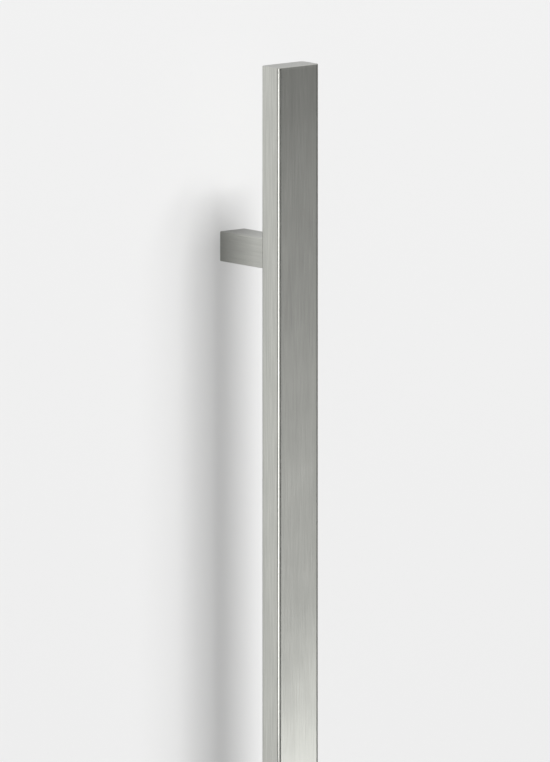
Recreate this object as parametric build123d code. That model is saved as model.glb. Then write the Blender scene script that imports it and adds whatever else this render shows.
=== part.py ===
from build123d import *
import os

os.makedirs("parts", exist_ok=True)

# A door pull bar, in millimetres. +Z is up, the door's face is the plane y = 0 and the handle stands
# off it towards -Y. The origin lies on the door's face, midway between the two posts.

# Grip: a rectangular tube on end
grip_length = 784.0
grip_width = 40.0
grip_depth = 20.0
grip_wall = 1.5
grip_edge_radius = 3.0

# End caps: a plate flush with the tube, with a tongue inside it
cap_plate = 2.0
cap_edge_radius = 0.4
tongue_length = 8.0
tongue_wall = 2.5
tongue_lead = 0.8

# Posts: nearly square bars between the door and the grip
post_pitch = 500.0
post_length = 57.0
post_width = 24.0
post_height = 22.5
post_edge_radius = 1.0
post_web = 12.0
bore_lead = 0.5

# Post screws: M8 socket cap screws through the web into a threaded block
screw_radius = 4.0
screw_head_radius = 6.5
screw_head_height = 8.0
screw_head_edge = 0.5
screw_key = 6.0
screw_key_depth = 4.0
screw_tip = 0.8
thread_engagement = 9.9

# Spring washers under the screw heads
washer_radius = 6.35
washer_thickness = 1.6
washer_split = 1.2
washer_split_angle = 30.0   # of the split to the screw's axis, in degrees

# Threaded blocks inside the tube
block_length = 30.0
block_lead = 1.0

# Fixing spigots: turned studs that stay on the door, with a groove and an M8 thread for the door's bolt
spigot_radius = 7.5
spigot_length = 24.0
spigot_groove_depth = 1.6
spigot_lead = 1.0
door_thread_radius = 4.0

# Grub screws: M6, up through the underside of each post into the spigot's groove
grub_radius = 3.0
grub_key = 3.0
grub_key_depth = 3.0
grub_recess = 0.2
grub_point = 0.8

# Clearances
slide_clearance = 0.15    # between a piece and the tube or bore that it slides into
thread_clearance = 0.1    # between a male thread's crest and the hole that it turns in
screw_clearance = 0.5     # round a screw in a plain hole
groove_clearance = 0.5    # on each side of the grub screw in the groove

# Sizes that follow
grip_bore_radius = grip_edge_radius - grip_wall
bore_width = grip_width - 2 * grip_wall
bore_depth = grip_depth - 2 * grip_wall
slide_width = bore_width - 2 * slide_clearance
slide_depth = bore_depth - 2 * slide_clearance
tube_length = grip_length - 2 * cap_plate
grip_back = -post_length
grip_centre = grip_back - grip_depth / 2
web_face = grip_back + post_web
head_seat = web_face + washer_thickness
screw_length = washer_thickness + post_web + grip_wall + thread_engagement
spigot_bore_radius = spigot_radius + slide_clearance
through_radius = screw_radius + screw_clearance
groove_radius = spigot_radius - spigot_groove_depth
grub_y = -spigot_length / 2
grub_length = post_height / 2 - grub_recess - groove_radius


def rounded_bar(width, depth, length, radius):
    """A bar along Z, centred, with its four long edges rounded."""
    return extrude(RectangleRounded(width, depth, radius), length / 2, both=True)


def along_y(profile_points):
    """A turned solid from (radius, y) points, about the Y axis."""
    outline = make_face(Polyline(*profile_points, close=True))
    return revolve(outline, Axis.Y)


def hole_y(radius, start, end):
    """A cylinder along Y from start to end, to cut with."""
    return Pos(0, (start + end) / 2, 0) * Rot(90, 0, 0) * Cylinder(radius, abs(end - start))


def hexagon_y(across_flats, start, end):
    """A hexagonal prism along Y from start to end, to cut a key socket with."""
    key = RegularPolygon(across_flats / 2, 6, major_radius=False)
    return Pos(0, (start + end) / 2, 0) * Rot(90, 0, 0) * extrude(key, abs(end - start) / 2, both=True)


def sliding_block(length, lead, both_ends):
    """A block along Z, centred, that slides in the tube, with a lead-in chamfer below or at both ends."""
    block = Box(slide_width, slide_depth, length)
    ends = block.faces().filter_by(Axis.Z) if both_ends else block.faces().sort_by(Axis.Z)[0:1]
    block = chamfer(ends.edges(), lead)
    return block & rounded_bar(slide_width, slide_depth, length, grip_bore_radius)


def grip_tube():
    outer = rounded_bar(grip_width, grip_depth, tube_length, grip_edge_radius)
    inner = rounded_bar(bore_width, bore_depth, tube_length, grip_bore_radius)
    tube = Pos(0, grip_centre, 0) * (outer - inner)
    for z in (-post_pitch / 2, post_pitch / 2):
        tube -= Pos(0, 0, z) * hole_y(through_radius, grip_back, grip_back - grip_wall)
    return tube


def end_cap():
    """The top cap, with its plate's upper face at z = 0. The bottom one is its mirror image."""
    plate = Pos(0, 0, -cap_plate / 2) * rounded_bar(grip_width, grip_depth, cap_plate, grip_edge_radius)
    plate = fillet(plate.faces().sort_by(Axis.Z)[-1].edges(), cap_edge_radius)
    tongue = sliding_block(tongue_length, tongue_lead, both_ends=False)
    tongue -= Box(slide_width - 2 * tongue_wall, slide_depth - 2 * tongue_wall, tongue_length)
    return plate + Pos(0, 0, -cap_plate - tongue_length / 2) * tongue


def post():
    """A post along Y, bored from the door end down to a web against the grip."""
    bar = Rot(90, 0, 0) * rounded_bar(post_width, post_height, post_length, post_edge_radius)
    bar = Pos(0, -post_length / 2, 0) * bar
    bar -= along_y([
        (0, 0),
        (spigot_bore_radius + bore_lead, 0),
        (spigot_bore_radius, -bore_lead),
        (spigot_bore_radius, web_face),
        (through_radius, web_face),
        (through_radius, grip_back),
        (0, grip_back),
    ])
    grub_hole = Cylinder(grub_radius, post_height / 2, align=(Align.CENTER, Align.CENTER, Align.MAX))
    grub_mouth = Cone(grub_radius + bore_lead, grub_radius, bore_lead,
                      align=(Align.CENTER, Align.CENTER, Align.MIN))
    bar -= Pos(0, grub_y, 0) * grub_hole
    bar -= Pos(0, grub_y, -post_height / 2) * grub_mouth
    return bar


def post_screw():
    head_top = head_seat + screw_head_height
    tip = head_seat - screw_length
    shank_radius = screw_radius - thread_clearance
    screw = along_y([
        (0, head_top),
        (screw_head_radius - screw_head_edge, head_top),
        (screw_head_radius, head_top - screw_head_edge),
        (screw_head_radius, head_seat),
        (shank_radius, head_seat),
        (shank_radius, tip + screw_tip),
        (shank_radius - screw_tip, tip),
        (0, tip),
    ])
    return screw - hexagon_y(screw_key, head_top, head_top - screw_key_depth)


def lock_washer():
    """A split spring washer, drawn flat as it is when the screw is tight."""
    ring = hole_y(washer_radius, head_seat, web_face) - hole_y(screw_radius, head_seat, web_face)
    slot = Box(washer_split, 4 * washer_thickness, washer_radius, align=(Align.CENTER, Align.CENTER, Align.MIN))
    middle = Pos(0, (head_seat + web_face) / 2, screw_radius / 2)
    return ring - middle * Rot(0, 0, washer_split_angle) * slot


def thread_block():
    """A block that slides along the tube and is drawn against its back wall by the post screw."""
    seat = grip_back - grip_wall
    block = Pos(0, seat - slide_depth / 2, 0) * sliding_block(block_length, block_lead, both_ends=True)
    return block - hole_y(screw_radius, seat, seat - slide_depth)


def fixing_spigot():
    groove_half = grub_radius + groove_clearance
    return along_y([
        (door_thread_radius, 0),
        (spigot_radius, 0),
        (spigot_radius, grub_y + groove_half),
        (groove_radius, grub_y + groove_half),
        (groove_radius, grub_y - groove_half),
        (spigot_radius, grub_y - groove_half),
        (spigot_radius, -spigot_length + spigot_lead),
        (spigot_radius - spigot_lead, -spigot_length),
        (door_thread_radius, -spigot_length),
    ])


def grub_screw():
    """A socket set screw along Z, with its flat point up in the groove."""
    body_radius = grub_radius - thread_clearance
    bottom = grub_recess - post_height / 2
    body = Cylinder(body_radius, grub_length, align=(Align.CENTER, Align.CENTER, Align.MIN))
    body = chamfer(body.edges().filter_by(GeomType.CIRCLE).sort_by(Axis.Z)[-1], grub_point)
    body -= extrude(RegularPolygon(grub_key / 2, 6, major_radius=False), grub_key_depth)
    return Pos(0, grub_y, bottom) * body


top_cap = Pos(0, grip_centre, grip_length / 2) * end_cap()
nodes = {
    "grip_tube": grip_tube(),
    "top_end_cap": top_cap,
    "bottom_end_cap": mirror(top_cap, about=Plane.XY),
}
fixing = {
    "post": post(),
    "post_screw": post_screw(),
    "lock_washer": lock_washer(),
    "thread_block": thread_block(),
    "fixing_spigot": fixing_spigot(),
    "grub_screw": grub_screw(),
}
for side, z in (("upper", post_pitch / 2), ("lower", -post_pitch / 2)):
    for name, shape in fixing.items():
        nodes[f"{side}_{name}"] = Pos(0, 0, z) * shape

for name, shape in nodes.items():
    export_step(shape, f"parts/{name}.step")
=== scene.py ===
import math
import bpy
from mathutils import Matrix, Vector


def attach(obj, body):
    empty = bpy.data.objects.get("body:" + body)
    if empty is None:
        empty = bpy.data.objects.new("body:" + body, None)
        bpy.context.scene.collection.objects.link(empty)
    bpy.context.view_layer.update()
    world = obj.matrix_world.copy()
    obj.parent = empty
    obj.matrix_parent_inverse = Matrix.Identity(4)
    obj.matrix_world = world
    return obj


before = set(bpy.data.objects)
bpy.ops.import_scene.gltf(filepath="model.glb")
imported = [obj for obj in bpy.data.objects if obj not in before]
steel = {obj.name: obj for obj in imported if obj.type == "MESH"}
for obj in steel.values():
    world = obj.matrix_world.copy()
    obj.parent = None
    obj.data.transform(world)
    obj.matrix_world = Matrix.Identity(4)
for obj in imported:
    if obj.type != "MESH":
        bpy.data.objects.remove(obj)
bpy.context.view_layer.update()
mm = 0.001
gripPieces = ("grip_tube", "top_end_cap", "bottom_end_cap")
postHeights = {"upper": 250, "lower": -250}     # mm, of the posts' middles
print("frame loaded:", len(steel), "nodes")


# Camera: a long lens, so that the bar's upright edges stay parallel
camera = {
    "azimuth": -39.66,              # degrees, negative on the left of the bar
    "elevation": 8.5,
    "lens": 1200,
    "sensor": 36,
    "pixelsPerMm": 1.344,
    "frameHeight": 762,
    "frameCentre": (275, 381),
    "originPixel": (232.66, 577.34),  # where the middle between the posts falls in the frame
    "clip": (0.5, 80),              # m
}


def viewAxes(azimuth, elevation):
    a, e = math.radians(azimuth), math.radians(elevation)
    back = Vector((math.sin(a) * math.cos(e), -math.cos(a) * math.cos(e), math.sin(e)))
    right = Vector((math.cos(a), math.sin(a), 0))
    return back, right, back.cross(right)


def addCamera():
    back, right, up = viewAxes(camera["azimuth"], camera["elevation"])
    shiftRight = (camera["frameCentre"][0] - camera["originPixel"][0]) / camera["pixelsPerMm"] * mm
    shiftUp = (camera["originPixel"][1] - camera["frameCentre"][1]) / camera["pixelsPerMm"] * mm
    distance = camera["lens"] / camera["sensor"] * camera["frameHeight"] / camera["pixelsPerMm"] * mm
    data = bpy.data.cameras.new("camera")
    data.lens = camera["lens"]
    data.sensor_width = camera["sensor"]
    data.clip_start, data.clip_end = camera["clip"]
    eye = bpy.data.objects.new("camera", data)
    bpy.context.scene.collection.objects.link(eye)
    eye.location = right * shiftRight + up * shiftUp + back * distance
    eye.rotation_mode = "QUATERNION"
    eye.rotation_quaternion = (-back).to_track_quat("-Z", "Y")
    bpy.context.scene.camera = eye


addCamera()
print("camera placed")


# Helpers for node trees
def addNode(tree, kind, at=(0, 0), **values):
    node = tree.nodes.new(kind)
    node.location = at
    for name, value in values.items():
        setattr(node, name, value)
    return node


def feed(tree, node, **sockets):
    # A number or colour is set on the socket, and an output is linked to it
    for name, value in sockets.items():
        socket = node.inputs[int(name[1:])] if name[0] == "i" and name[1:].isdigit() else node.inputs[name]
        if isinstance(value, bpy.types.NodeSocket):
            tree.links.new(value, socket)
        else:
            socket.default_value = value
    return node


def mathNode(tree, operation, first, second=0.0, clamp=False):
    node = addNode(tree, "ShaderNodeMath", operation=operation, use_clamp=clamp)
    feed(tree, node, i0=first, i1=second)
    return node.outputs[0]


def vectorNode(tree, operation, first, second=(0, 0, 0)):
    node = addNode(tree, "ShaderNodeVectorMath", operation=operation)
    feed(tree, node, i0=first, i1=second)
    return node.outputs["Value"] if operation in ("DOT_PRODUCT", "LENGTH") else node.outputs["Vector"]


def newGroup(name, inputs, outputs):
    group = bpy.data.node_groups.new(name, "ShaderNodeTree")
    for label, kind, value in inputs:
        socket = group.interface.new_socket(name=label, in_out="INPUT", socket_type=kind)
        socket.default_value = value
    for label, kind in outputs:
        group.interface.new_socket(name=label, in_out="OUTPUT", socket_type=kind)
    start = addNode(group, "NodeGroupInput", (-900, 0))
    end = addNode(group, "NodeGroupOutput", (900, 0))
    return group, start.outputs, end


def useGroup(tree, group, **values):
    return feed(tree, addNode(tree, "ShaderNodeGroup", node_tree=group), **values)


# Shared effects, each a node group with named sockets
endFacing = 0.75            # how squarely a face looks along the grain before it counts as an end
lineNoise = {"Scale": 1.0, "Detail": 3.0, "Roughness": 0.6}
bandNoise = {"Scale": 1.0, "Detail": 2.0, "Roughness": 0.5}
bandStretch = (0.12, 0.12, 0.3)     # of the bands' pattern to the lines', across and along
nickNoise = {"Scale": 220.0, "Detail": 4.0}
cloudNoise = {"Detail": 4.0, "Roughness": 0.55, "Distortion": 0.4}
noiseRange = (0.3, 0.7)     # where a noise mostly lies


def makeBrushLines():
    # Long fine lines along Z, and along X on faces that look along Z. Place is in metres.
    group, given, end = newGroup(
        "brush lines",
        [("Place", "NodeSocketVector", (0, 0, 0)), ("Facing", "NodeSocketVector", (0, 0, 1)),
         ("Line Width", "NodeSocketFloat", 0.3), ("Line Length", "NodeSocketFloat", 60)],
        [("Lines", "NodeSocketFloat"), ("Bands", "NodeSocketFloat")])
    upright = vectorNode(group, "DOT_PRODUCT", given["Facing"], (0, 0, 1))
    onEnd = mathNode(group, "GREATER_THAN", mathNode(group, "ABSOLUTE", upright), endFacing)
    across = mathNode(group, "DIVIDE", 1 / mm, given["Line Width"])
    along = mathNode(group, "DIVIDE", 1 / mm, given["Line Length"])
    sideScale = addNode(group, "ShaderNodeCombineXYZ")
    feed(group, sideScale, X=across, Y=across, Z=along)
    endScale = addNode(group, "ShaderNodeCombineXYZ")
    feed(group, endScale, X=along, Y=across, Z=across)
    scale = addNode(group, "ShaderNodeMix", data_type="VECTOR")
    feed(group, scale, Factor=onEnd, i4=sideScale.outputs[0], i5=endScale.outputs[0])
    place = vectorNode(group, "MULTIPLY", given["Place"], scale.outputs[1])
    fine = addNode(group, "ShaderNodeTexNoise")
    feed(group, fine, Vector=place, **lineNoise)
    wide = addNode(group, "ShaderNodeTexNoise")
    feed(group, wide, Vector=vectorNode(group, "MULTIPLY", place, bandStretch), **bandNoise)
    feed(group, end, Lines=fine.outputs[0], Bands=wide.outputs[0])
    return group


def makeEdgeWear():
    # 1 along the edges of a box, fading over Width millimetres, which Breakup makes uneven
    group, given, end = newGroup(
        "edge wear",
        [("Place", "NodeSocketVector", (0, 0, 0)), ("Half Size", "NodeSocketVector", (1, 1, 1)),
         ("Width", "NodeSocketFloat", 1.5), ("Breakup", "NodeSocketFloat", 1)],
        [("Wear", "NodeSocketFloat")])
    inside = vectorNode(group, "SUBTRACT", given["Half Size"],
                        vectorNode(group, "ABSOLUTE", given["Place"]))
    parts = addNode(group, "ShaderNodeSeparateXYZ")
    feed(group, parts, Vector=inside)
    x, y, z = parts.outputs
    low = mathNode(group, "MINIMUM", x, y)
    high = mathNode(group, "MAXIMUM", x, y)
    second = mathNode(group, "MAXIMUM", low, mathNode(group, "MINIMUM", high, z))
    nicks = addNode(group, "ShaderNodeTexNoise")
    feed(group, nicks, Vector=given["Place"], **nickNoise)
    swing = mathNode(group, "MULTIPLY", mathNode(group, "SUBTRACT", nicks.outputs[0], 0.5), given["Breakup"])
    reach = mathNode(group, "MULTIPLY", mathNode(group, "MULTIPLY", given["Width"], mm),
                     mathNode(group, "ADD", swing, 1.0))
    near = mathNode(group, "DIVIDE", second, reach)
    feed(group, end, Wear=mathNode(group, "SUBTRACT", 1.0, near, clamp=True))
    return group


def makeHandling():
    # Soft cloudy patches where hands and cloths have been
    group, given, end = newGroup(
        "handling",
        [("Place", "NodeSocketVector", (0, 0, 0)), ("Patch Size", "NodeSocketFloat", 40)],
        [("Patches", "NodeSocketFloat")])
    scale = mathNode(group, "DIVIDE", 1 / mm, given["Patch Size"])
    cloud = addNode(group, "ShaderNodeTexNoise")
    feed(group, cloud, Vector=given["Place"], Scale=scale, **cloudNoise)
    feed(group, end, Patches=cloud.outputs[0])
    return group


brushLines = makeBrushLines()
edgeWear = makeEdgeWear()
handling = makeHandling()


def startMaterial(name):
    material = bpy.data.materials.new(name)
    material.use_nodes = True
    tree = material.node_tree
    shader = tree.nodes["Principled BSDF"]
    shader.inputs["Metallic"].default_value = 1.0
    coordinates = addNode(tree, "ShaderNodeTexCoord", (-1400, 0))
    return material, tree, shader, coordinates


def turnedBy(tree, vector, turn, kind):
    node = addNode(tree, "ShaderNodeMapping", (-1200, 0), vector_type=kind)
    feed(tree, node, Vector=vector, Rotation=turn)
    return node.outputs[0]


def around(tree, noise, middle, swing):
    # Turns a noise into values from middle - swing to middle + swing
    node = addNode(tree, "ShaderNodeMapRange")
    feed(tree, node, Value=noise, i1=noiseRange[0], i2=noiseRange[1], i3=middle - swing, i4=middle + swing)
    return node.outputs[0]


def shaded(tree, colour, shade):
    node = addNode(tree, "ShaderNodeVectorMath", operation="SCALE")
    feed(tree, node, Vector=colour, Scale=shade)
    return node.outputs["Vector"]


def bump(tree, shader, height, depth):
    node = addNode(tree, "ShaderNodeBump")
    feed(tree, node, Height=height, Distance=depth * mm, Strength=1.0)
    feed(tree, shader, Normal=node.outputs[0])


def grainTangent(tree, coordinates, grain, endGrain):
    # The highlight spreads across the brush lines, so the tangent is square to them
    normal = coordinates.outputs["Normal"]
    facing = mathNode(tree, "ABSOLUTE", vectorNode(tree, "DOT_PRODUCT", normal, grain))
    onEnd = mathNode(tree, "GREATER_THAN", facing, endFacing)
    along = addNode(tree, "ShaderNodeMix", data_type="VECTOR")
    feed(tree, along, Factor=onEnd, i4=grain, i5=endGrain)
    return vectorNode(tree, "CROSS_PRODUCT", normal, along.outputs[1])


def brushedSteel(name, look):
    material, tree, shader, coordinates = startMaterial(name)
    centre = tuple(c * mm for c in look["centre"])
    fromCentre = vectorNode(tree, "SUBTRACT", coordinates.outputs["Object"], centre)
    place = turnedBy(tree, fromCentre, look["turn"], "POINT")
    facing = turnedBy(tree, coordinates.outputs["Normal"], look["turn"], "VECTOR")
    grain = useGroup(tree, brushLines, Place=place, Facing=facing,
                     **{"Line Width": look["lineWidth"], "Line Length": look["lineLength"]})
    wear = useGroup(tree, edgeWear, Place=place, Width=look["wearWidth"], Breakup=look["wearBreakup"],
                    **{"Half Size": tuple(h * mm for h in look["halfSize"])})
    patches = useGroup(tree, handling, Place=place, **{"Patch Size": look["patchSize"]})
    lines, bands = grain.outputs["Lines"], grain.outputs["Bands"]
    worn = wear.outputs["Wear"]
    shade = mathNode(tree, "ADD", around(tree, lines, 0, look["lineShade"]),
                     around(tree, bands, 1, look["bandShade"]))
    # Lighter along the edges: partly wear, partly a painted highlight line
    shade = mathNode(tree, "ADD", shade, mathNode(tree, "MULTIPLY", worn, look["wearAndHighlightShade"]))
    if "doorPaintedShade" in look:
        # Painted shade: darker near the door, standing in for the shade that the wall casts on the post
        parts = addNode(tree, "ShaderNodeSeparateXYZ")
        feed(tree, parts, Vector=coordinates.outputs["Object"])
        reach = addNode(tree, "ShaderNodeMapRange")
        feed(tree, reach, Value=parts.outputs["Y"], i1=0.0, i2=-look["paintedShadeReach"] * mm,
             i3=look["doorPaintedShade"], i4=1.0)
        shade = mathNode(tree, "MULTIPLY", shade, reach.outputs[0])
    roughness = mathNode(tree, "ADD", around(tree, lines, 0, look["lineRough"]),
                         around(tree, patches.outputs[0], look["roughness"], look["patchRough"]))
    roughness = mathNode(tree, "SUBTRACT", roughness, mathNode(tree, "MULTIPLY", worn, look["wearRough"]))
    feed(tree, shader, **{"Base Color": shaded(tree, look["colour"], shade), "Roughness": roughness,
                          "Anisotropic": look["anisotropic"],
                          "Tangent": grainTangent(tree, coordinates, look["grain"], look["endGrain"])})
    tint = look["grazingTint"]
    feed(tree, shader, **{"Specular Tint": (tint, tint, tint, 1)})
    bump(tree, shader, lines, look["lineDepth"])
    return material


def dress(names, material):
    for name in names:
        steel[name].material_slots[0].material = material


# Grip and its caps: satin steel with the lines running up the bar
grip = {
    "colour": (0.563, 0.568, 0.532),
    "centre": (0, -67, 0),          # mm, and so are the other lengths
    "halfSize": (20, 10, 392),
    "turn": (0, 0, 0),
    "grain": (0, 0, 1),
    "endGrain": (1, 0, 0),
    "lineWidth": 0.9,
    "lineLength": 32,
    "lineDepth": 0.006,
    "lineShade": 0.11,
    "bandShade": 0.03,
    "wearWidth": 2.5,
    "wearBreakup": 0.3,
    "wearAndHighlightShade": 0.02,
    "wearRough": 0.09,
    "patchSize": 60,
    "patchRough": 0.02,
    "lineRough": 0.02,
    "roughness": 0.17,
    "anisotropic": 0.85,
    "grazingTint": 0.68,            # how much of the glare at a flat angle is kept
}
dress(gripPieces, brushedSteel("satin grip steel", grip))

# Posts: the same steel, with the lines running from the door to the grip
post = {
    "colour": (0.575, 0.58, 0.545),
    "middleDepth": -28.5,           # mm, halfway from the door to the grip
    "halfSize": (12, 11.25, 28.5),  # turned so that the post's length is Z
    "turn": (math.pi / 2, 0, 0),
    "grain": (0, 1, 0),
    "endGrain": (1, 0, 0),
    "lineWidth": 0.45,
    "lineLength": 30,
    "lineDepth": 0.004,
    "lineShade": 0.07,
    "bandShade": 0.025,
    "wearWidth": 0.8,
    "wearBreakup": 1,
    # edges lighter, partly from wear and partly a painted highlight
    "wearAndHighlightShade": 0.2,
    "wearRough": 0.03,
    "patchSize": 25,
    "patchRough": 0.02,
    "lineRough": 0.02,
    "roughness": 0.22,
    "anisotropic": 0.85,
    "grazingTint": 0.72,
    "doorPaintedShade": 0.58,              # painted shade where the wall shades the post: brightness against the door, growing to 1 at the reach below
    "paintedShadeReach": 40,
}
for side, height in postHeights.items():
    centre = (0, post["middleDepth"], height)
    dress([side + "_post"], brushedSteel(side + " satin post steel", dict(post, centre=centre)))
print("grip and posts dressed")


# Turned steel: rings round the spigot's axis, with the height folded so that both spigots match
def turnedSteel(name, look):
    material, tree, shader, coordinates = startMaterial(name)
    parts = addNode(tree, "ShaderNodeSeparateXYZ")
    feed(tree, parts, Vector=coordinates.outputs["Object"])
    x, y, z = parts.outputs
    height = mathNode(tree, "SUBTRACT", mathNode(tree, "ABSOLUTE", z), postHeights["upper"] * mm)
    radial = addNode(tree, "ShaderNodeCombineXYZ")
    feed(tree, radial, X=x, Z=height)
    reach = vectorNode(tree, "LENGTH", radial.outputs[0])
    rings = addNode(tree, "ShaderNodeCombineXYZ")
    feed(tree, rings, X=reach, Y=y)
    cut = addNode(tree, "ShaderNodeTexNoise")
    feed(tree, cut, Vector=rings.outputs[0], Scale=1 / (look["ringWidth"] * mm), Detail=look["ringDetail"])
    stain = useGroup(tree, handling, Place=coordinates.outputs["Object"],
                     **{"Patch Size": look["patchSize"]})
    shade = mathNode(tree, "MULTIPLY", around(tree, cut.outputs[0], 1, look["ringShade"]),
                     around(tree, stain.outputs[0], 1, look["patchShade"]))
    feed(tree, shader, **{"Base Color": shaded(tree, look["colour"], shade),
                          "Roughness": around(tree, cut.outputs[0], look["roughness"], look["ringRough"]),
                          "Anisotropic": look["anisotropic"]})
    sideways = vectorNode(tree, "CROSS_PRODUCT", radial.outputs[0], (0, 1, 0))
    feed(tree, shader, Tangent=vectorNode(tree, "CROSS_PRODUCT", coordinates.outputs["Normal"], sideways))
    bump(tree, shader, cut.outputs[0], look["ringDepth"])
    return material


spigot = {
    "colour": (0.64, 0.64, 0.63),
    "ringWidth": 0.25,              # mm
    "ringDetail": 2.0,
    "ringDepth": 0.01,
    "ringShade": 0.05,
    "ringRough": 0.04,
    "patchSize": 8,
    "patchShade": 0.04,
    "roughness": 0.30,
    "anisotropic": 0.6,
}
turned = turnedSteel("fine turned steel", spigot)
dress(["upper_fixing_spigot", "lower_fixing_spigot"], turned)


# Plain steel of the small parts: grey with a faint mottle and fine specks
def plainSteel(name, look):
    material, tree, shader, coordinates = startMaterial(name)
    place = coordinates.outputs["Object"]
    patches = useGroup(tree, handling, Place=place, **{"Patch Size": look["patchSize"]}).outputs[0]
    specks = useGroup(tree, handling, Place=place, **{"Patch Size": look["speckSize"]}).outputs[0]
    shade = mathNode(tree, "MULTIPLY", around(tree, patches, 1, look["patchShade"]),
                     around(tree, specks, 1, look["speckShade"]))
    feed(tree, shader, **{"Base Color": shaded(tree, look["colour"], shade),
                          "Roughness": around(tree, patches, look["roughness"], look["patchRough"])})
    bump(tree, shader, specks, look["speckDepth"])
    return material


smallParts = {
    "cold formed screw steel": {
        "colour": (0.56, 0.56, 0.555), "patchSize": 3.0, "patchShade": 0.06, "patchRough": 0.06,
        "speckSize": 0.4, "speckShade": 0.05, "speckDepth": 0.006, "roughness": 0.36,
        "names": ["upper_post_screw", "lower_post_screw", "upper_grub_screw", "lower_grub_screw"]},
    "spring washer steel": {
        "colour": (0.52, 0.52, 0.52), "patchSize": 4.0, "patchShade": 0.08, "patchRough": 0.06,
        "speckSize": 0.3, "speckShade": 0.05, "speckDepth": 0.008, "roughness": 0.42,
        "names": ["upper_lock_washer", "lower_lock_washer"]},
    "milled block steel": {
        "colour": (0.54, 0.54, 0.53), "patchSize": 9.0, "patchShade": 0.06, "patchRough": 0.06,
        "speckSize": 0.6, "speckShade": 0.06, "speckDepth": 0.01, "roughness": 0.44,
        "names": ["upper_thread_block", "lower_thread_block"]},
}
for finish, look in smallParts.items():
    dress(look["names"], plainSteel(finish, look))
print("fixings dressed")


# Thread in the door end of each spigot: one ridge wound round the bore
thread = {
    "pitch": 1.25,          # mm, and so are the other lengths
    "boreRadius": 4.0,
    "sunk": 0.03,           # how far the ridge's foot lies inside the bore's wall
    "crestRadius": 3.38,
    "footWidth": 1.09,
    "crestWidth": 0.31,
    "firstTurn": -1.2,      # where the ridge's middle starts and ends
    "lastTurn": -22.45,
    "stepsPerTurn": 32,
    "mergeWithin": 0.001,
    "smoothAngle": 30,      # degrees
}


def clearSelection():
    if bpy.context.object and bpy.context.object.mode != "OBJECT":
        bpy.ops.object.mode_set(mode="OBJECT")
    bpy.ops.object.select_all(action="DESELECT")


def pick(piece, kind, wanted):
    # Selects the vertices or faces that match, and stays in edit mode
    bpy.ops.object.mode_set(mode="EDIT")
    bpy.ops.mesh.select_mode(type=kind)
    bpy.ops.mesh.select_all(action="DESELECT")
    bpy.ops.object.mode_set(mode="OBJECT")
    for element in piece.data.polygons if kind == "FACE" else piece.data.vertices:
        element.select = wanted(element.center if kind == "FACE" else element.co)
    bpy.ops.object.mode_set(mode="EDIT")


def makeThreadRidge():
    foot = thread["boreRadius"] + thread["sunk"]
    tall = foot - thread["crestRadius"]
    turns = (thread["firstTurn"] - thread["lastTurn"]) / thread["pitch"]
    clearSelection()
    bpy.ops.mesh.primitive_plane_add(size=1, location=(0, 0, 0))
    ridge = bpy.context.object
    bpy.ops.object.mode_set(mode="EDIT")
    bpy.ops.transform.resize(value=(tall * mm, thread["footWidth"] * mm, 1))
    bpy.ops.transform.translate(value=((foot - tall / 2) * mm, thread["firstTurn"] * mm, 0))
    pick(ridge, "VERT", lambda place: place.x < (foot - tall / 2) * mm)
    bpy.ops.transform.resize(value=(1, thread["crestWidth"] / thread["footWidth"], 1))
    bpy.ops.mesh.select_all(action="SELECT")
    bpy.ops.mesh.delete(type="ONLY_FACE")
    bpy.ops.object.mode_set(mode="OBJECT")
    bpy.ops.object.modifier_add(type="SCREW")
    wind = ridge.modifiers[-1]
    wind.axis = "Y"
    wind.angle = 2 * math.pi * turns
    wind.screw_offset = -thread["pitch"] * turns * mm
    wind.steps = wind.render_steps = round(thread["stepsPerTurn"] * turns)
    bpy.ops.object.modifier_apply(modifier=wind.name)
    bpy.ops.object.mode_set(mode="EDIT")
    bpy.ops.mesh.select_all(action="SELECT")
    bpy.ops.mesh.remove_doubles(threshold=thread["mergeWithin"] * mm)
    bpy.ops.mesh.fill_holes(sides=4)
    bpy.ops.mesh.select_all(action="SELECT")
    bpy.ops.mesh.normals_make_consistent(inside=False)
    bpy.ops.object.mode_set(mode="OBJECT")
    return ridge


firstRidge = makeThreadRidge()
for side, height in postHeights.items():
    clearSelection()
    firstRidge.select_set(True)
    bpy.context.view_layer.objects.active = firstRidge
    bpy.ops.object.duplicate()
    ridge = bpy.context.object
    ridge.name = ridge.data.name = side + "_door_thread_ridge"
    ridge.location = (0, 0, height * mm)
    bpy.ops.object.transform_apply(location=True, rotation=False, scale=False)
    bpy.ops.object.shade_smooth_by_angle(angle=math.radians(thread["smoothAngle"]))
    ridge.data.materials.append(turned)
    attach(ridge, "root")
bpy.data.objects.remove(firstRidge)
print("threads wound")


# Stage: a pale wall for the door and a pale floor
wall = {
    "colour": (0.87, 0.87, 0.87),
    "glow": 0.28,               # share that camera and gloss see at full paleness, which softens shadows
    "size": (5.0, 3.25),        # m
    "middleHeight": 0.375,
    "behind": 0.2,              # mm behind the posts' ends
    "window": 11,               # mm, half the opening behind each post
}
floor = {
    "colour": (0.5, 0.5, 0.5),
    "glow": 0.8,
    "size": 10.0,               # m
    "height": -1.25,
}
paleness = 0.87                 # of all that the camera and gloss see round the bar


def seenByCameraOrGloss(tree):
    ray = addNode(tree, "ShaderNodeLightPath").outputs
    gloss = mathNode(tree, "MAXIMUM", ray["Is Glossy Ray"], ray["Is Transmission Ray"])
    return mathNode(tree, "MAXIMUM", ray["Is Camera Ray"], gloss)


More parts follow.
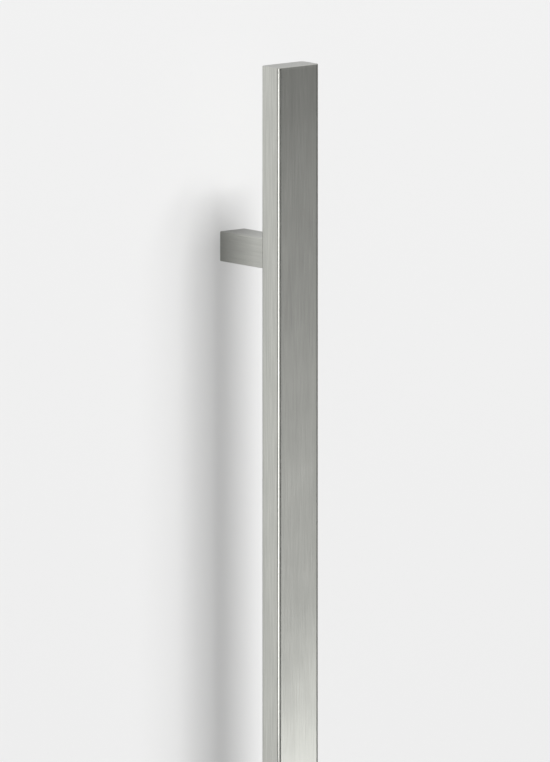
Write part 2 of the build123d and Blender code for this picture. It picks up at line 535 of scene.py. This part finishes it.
def paleSurface(name, look, seeThroughBack=False):
    material = bpy.data.materials.new(name)
    material.use_nodes = True
    tree = material.node_tree
    tree.nodes.remove(tree.nodes["Principled BSDF"])
    out = tree.nodes["Material Output"]
    paint = addNode(tree, "ShaderNodeBsdfDiffuse")
    feed(tree, paint, Color=(*look["colour"], 1))
    glow = addNode(tree, "ShaderNodeEmission")
    feed(tree, glow, Color=(paleness, paleness, paleness, 1), Strength=1.0)
    lit = addNode(tree, "ShaderNodeMixShader")
    feed(tree, lit, i0=mathNode(tree, "MULTIPLY", seenByCameraOrGloss(tree), look["glow"]),
         i1=paint.outputs[0], i2=glow.outputs[0])
    surface = lit.outputs[0]
    if seeThroughBack:
        geometry = addNode(tree, "ShaderNodeNewGeometry")
        clear = addNode(tree, "ShaderNodeBsdfTransparent")
        choose = addNode(tree, "ShaderNodeMixShader")
        feed(tree, choose, i0=geometry.outputs["Backfacing"], i1=surface, i2=clear.outputs[0])
        surface = choose.outputs[0]
    tree.links.new(surface, out.inputs["Surface"])
    return material


def makeWall():
    clearSelection()
    bpy.ops.mesh.primitive_plane_add(size=1, location=(0, 0, 0))
    board = bpy.context.object
    board.name = "wall"
    bpy.ops.object.mode_set(mode="EDIT")
    bpy.ops.transform.resize(value=(wall["size"][0], wall["size"][1], 1))
    bpy.ops.transform.rotate(value=math.pi / 2, orient_axis="X", center_override=(0, 0, 0))
    bpy.ops.transform.translate(value=(0, wall["behind"] * mm, wall["middleHeight"]))
    half = wall["window"] * mm
    for side in (-half, half):
        bpy.ops.mesh.select_all(action="SELECT")
        bpy.ops.mesh.bisect(plane_co=(side, 0, 0), plane_no=(1, 0, 0))
        for height in postHeights.values():
            bpy.ops.mesh.select_all(action="SELECT")
            bpy.ops.mesh.bisect(plane_co=(0, 0, height * mm + side), plane_no=(0, 0, 1))
    pick(board, "FACE", lambda place: abs(place.x) < half
         and any(abs(place.z - height * mm) < half for height in postHeights.values()))
    bpy.ops.mesh.delete(type="FACE")
    bpy.ops.object.mode_set(mode="OBJECT")
    if board.data.polygons[0].normal.y > 0:
        board.data.flip_normals()
    board.data.materials.append(paleSurface("white wall", wall, seeThroughBack=True))


def makeFloor():
    clearSelection()
    bpy.ops.mesh.primitive_plane_add(size=floor["size"], location=(0, 0, floor["height"]))
    ground = bpy.context.object
    ground.name = "floor"
    ground.data.materials.append(paleSurface("pale floor", floor))
    ground.visible_diffuse = False      # so that it throws no light up at the wall


makeWall()
makeFloor()

# A curved card in front, which only gloss sees: the steel's shades are its reflection
card = {
    "radius": 2.0,              # m
    "low": -1.25,
    "high": 3.0,
    "fromAzimuth": -100,        # degrees, 0 straight in front and 90 on the right
    "toAzimuth": 88,
    "facets": 180,
    # height in metres and brightness of the strip, from the floor up
    "strip": ((-1.25, 0.9), (-0.80, 0.9), (-0.60, 2.0), (-0.50, 2.0), (-0.40, 1.28), (-0.30, 0.87),
              (-0.19, 0.80), (-0.08, 0.63), (0.07, 0.475), (0.11, 0.345), (3.0, 0.30)),
    # azimuth in degrees and brightness beside the strip, and how much of the strip shows there
    "beside": ((-100, 0.84), (-86, 0.84), (-82, 0.47), (-52, 0.47), (-48, 0.66), (4, 0.66),
               (8, 0.07), (80, 0.07), (88, 0.3)),
    "across": ((-100, 0), (30, 0), (33, 1), (46, 1), (49, 0), (88, 0)),
    # height in metres and how far the card turns there to the even brightness of its upper part
    "lift": ((-1.25, 0), (0.25, 0), (0.7, 1), (3.0, 1)),
    "upper": 0.6,
}


def stepsOver(tree, value, low, high, steps):
    # A curve through the steps, each a place between low and high with its brightness
    spread = addNode(tree, "ShaderNodeMapRange")
    feed(tree, spread, Value=value, i1=low, i2=high)
    curve = addNode(tree, "ShaderNodeValToRGB")
    while len(curve.color_ramp.elements) < len(steps):
        curve.color_ramp.elements.new(0.5)
    for element, (place, brightness) in zip(curve.color_ramp.elements, steps):
        element.position = (place - steps[0][0]) / (steps[-1][0] - steps[0][0])
        element.color = (brightness, brightness, brightness, 1)
    feed(tree, curve, Fac=spread.outputs[0])
    return curve.outputs[0]


def gradedGlow():
    material = bpy.data.materials.new("graded card")
    material.use_nodes = True
    tree = material.node_tree
    tree.nodes.remove(tree.nodes["Principled BSDF"])
    coordinates = addNode(tree, "ShaderNodeTexCoord")
    parts = addNode(tree, "ShaderNodeSeparateXYZ")
    feed(tree, parts, Vector=coordinates.outputs["Object"])
    x, y, z = parts.outputs
    azimuth = mathNode(tree, "ARCTAN2", x, mathNode(tree, "MULTIPLY", y, -1.0))
    strip = stepsOver(tree, z, card["low"], card["high"], card["strip"])
    start, end = math.radians(card["fromAzimuth"]), math.radians(card["toAzimuth"])
    across = stepsOver(tree, azimuth, start, end, card["across"])
    beside = stepsOver(tree, azimuth, start, end, card["beside"])
    blend = addNode(tree, "ShaderNodeMix", data_type="FLOAT")
    feed(tree, blend, Factor=across, i2=beside, i3=strip)
    whole = addNode(tree, "ShaderNodeMix", data_type="FLOAT")
    feed(tree, whole, Factor=stepsOver(tree, z, card["low"], card["high"], card["lift"]),
         i2=blend.outputs[0], i3=card["upper"])
    light = addNode(tree, "ShaderNodeEmission")
    feed(tree, light, Color=whole.outputs[0], Strength=1.0)
    tree.links.new(light.outputs[0], tree.nodes["Material Output"].inputs["Surface"])
    return material


def makeCard():
    clearSelection()
    bpy.ops.mesh.primitive_cylinder_add(
        vertices=card["facets"], radius=card["radius"], depth=card["high"] - card["low"],
        end_fill_type="NOTHING", location=(0, 0, 0))
    screen = bpy.context.object
    screen.name = "card"
    bpy.ops.object.mode_set(mode="EDIT")
    bpy.ops.transform.translate(value=(0, 0, (card["high"] + card["low"]) / 2))
    pick(screen, "FACE", lambda place: not card["fromAzimuth"]
         <= math.degrees(math.atan2(place.x, -place.y)) <= card["toAzimuth"])
    bpy.ops.mesh.delete(type="FACE")
    bpy.ops.object.mode_set(mode="OBJECT")
    screen.data.materials.append(gradedGlow())
    screen.visible_camera = screen.visible_diffuse = False
    screen.visible_shadow = screen.visible_transmission = False


makeCard()
print("stage built")


# Soft lamps: a key and a fill from high on the right, which light the wall and the floor, and a small
# one by the camera that only gloss sees, for the bar's near edge
lamps = {
    "key": {"azimuth": 8.8, "elevation": 63.5, "distance": 25.0, "size": (6.0, 3.6), "watts": 8400,
            "forGloss": False},
    "fill": {"azimuth": 33, "elevation": 56, "distance": 20.0, "size": (4.0, 1.75), "watts": 1110,
             "forGloss": False},
    "edge": {"azimuth": -38.5, "elevation": -4.0, "distance": 1.85, "size": (0.62, 0.56), "watts": 2.35,
             "forGloss": True},
}

# As in the photograph, the grip and its caps throw the shadow on the wall, and the posts add none
shadowPieces = bpy.data.collections.new("pieces with shadows")
for name in gripPieces:
    shadowPieces.objects.link(steel[name])


def addLamp(name, look):
    back, right, up = viewAxes(look["azimuth"], look["elevation"])
    data = bpy.data.lights.new(name, "AREA")
    data.shape = "RECTANGLE"
    data.size, data.size_y = look["size"]
    data.energy = look["watts"]
    lamp = bpy.data.objects.new(name, data)
    bpy.context.scene.collection.objects.link(lamp)
    lamp.location = back * look["distance"]
    lamp.rotation_mode = "QUATERNION"
    lamp.rotation_quaternion = (-back).to_track_quat("-Z", "Y")
    lamp.visible_camera = False
    lamp.visible_glossy = look["forGloss"]
    lamp.visible_diffuse = not look["forGloss"]
    if not look["forGloss"]:
        lamp.light_linking.blocker_collection = shadowPieces


for name, look in lamps.items():
    addLamp(name, look)


# World: what the camera and gloss see is pale, and what it adds to the shadows is less
room = {"seen": paleness, "fill": 0.264}


def makeWorld():
    world = bpy.data.worlds.new("room")
    world.use_nodes = True
    bpy.context.scene.world = world
    tree = world.node_tree
    level = addNode(tree, "ShaderNodeMapRange")
    feed(tree, level, Value=seenByCameraOrGloss(tree), i3=room["fill"], i4=room["seen"])
    feed(tree, tree.nodes["Background"], Color=level.outputs[0], Strength=1.0)


makeWorld()
bpy.context.scene.view_settings.view_transform = "Standard"
print("lamps and world set")
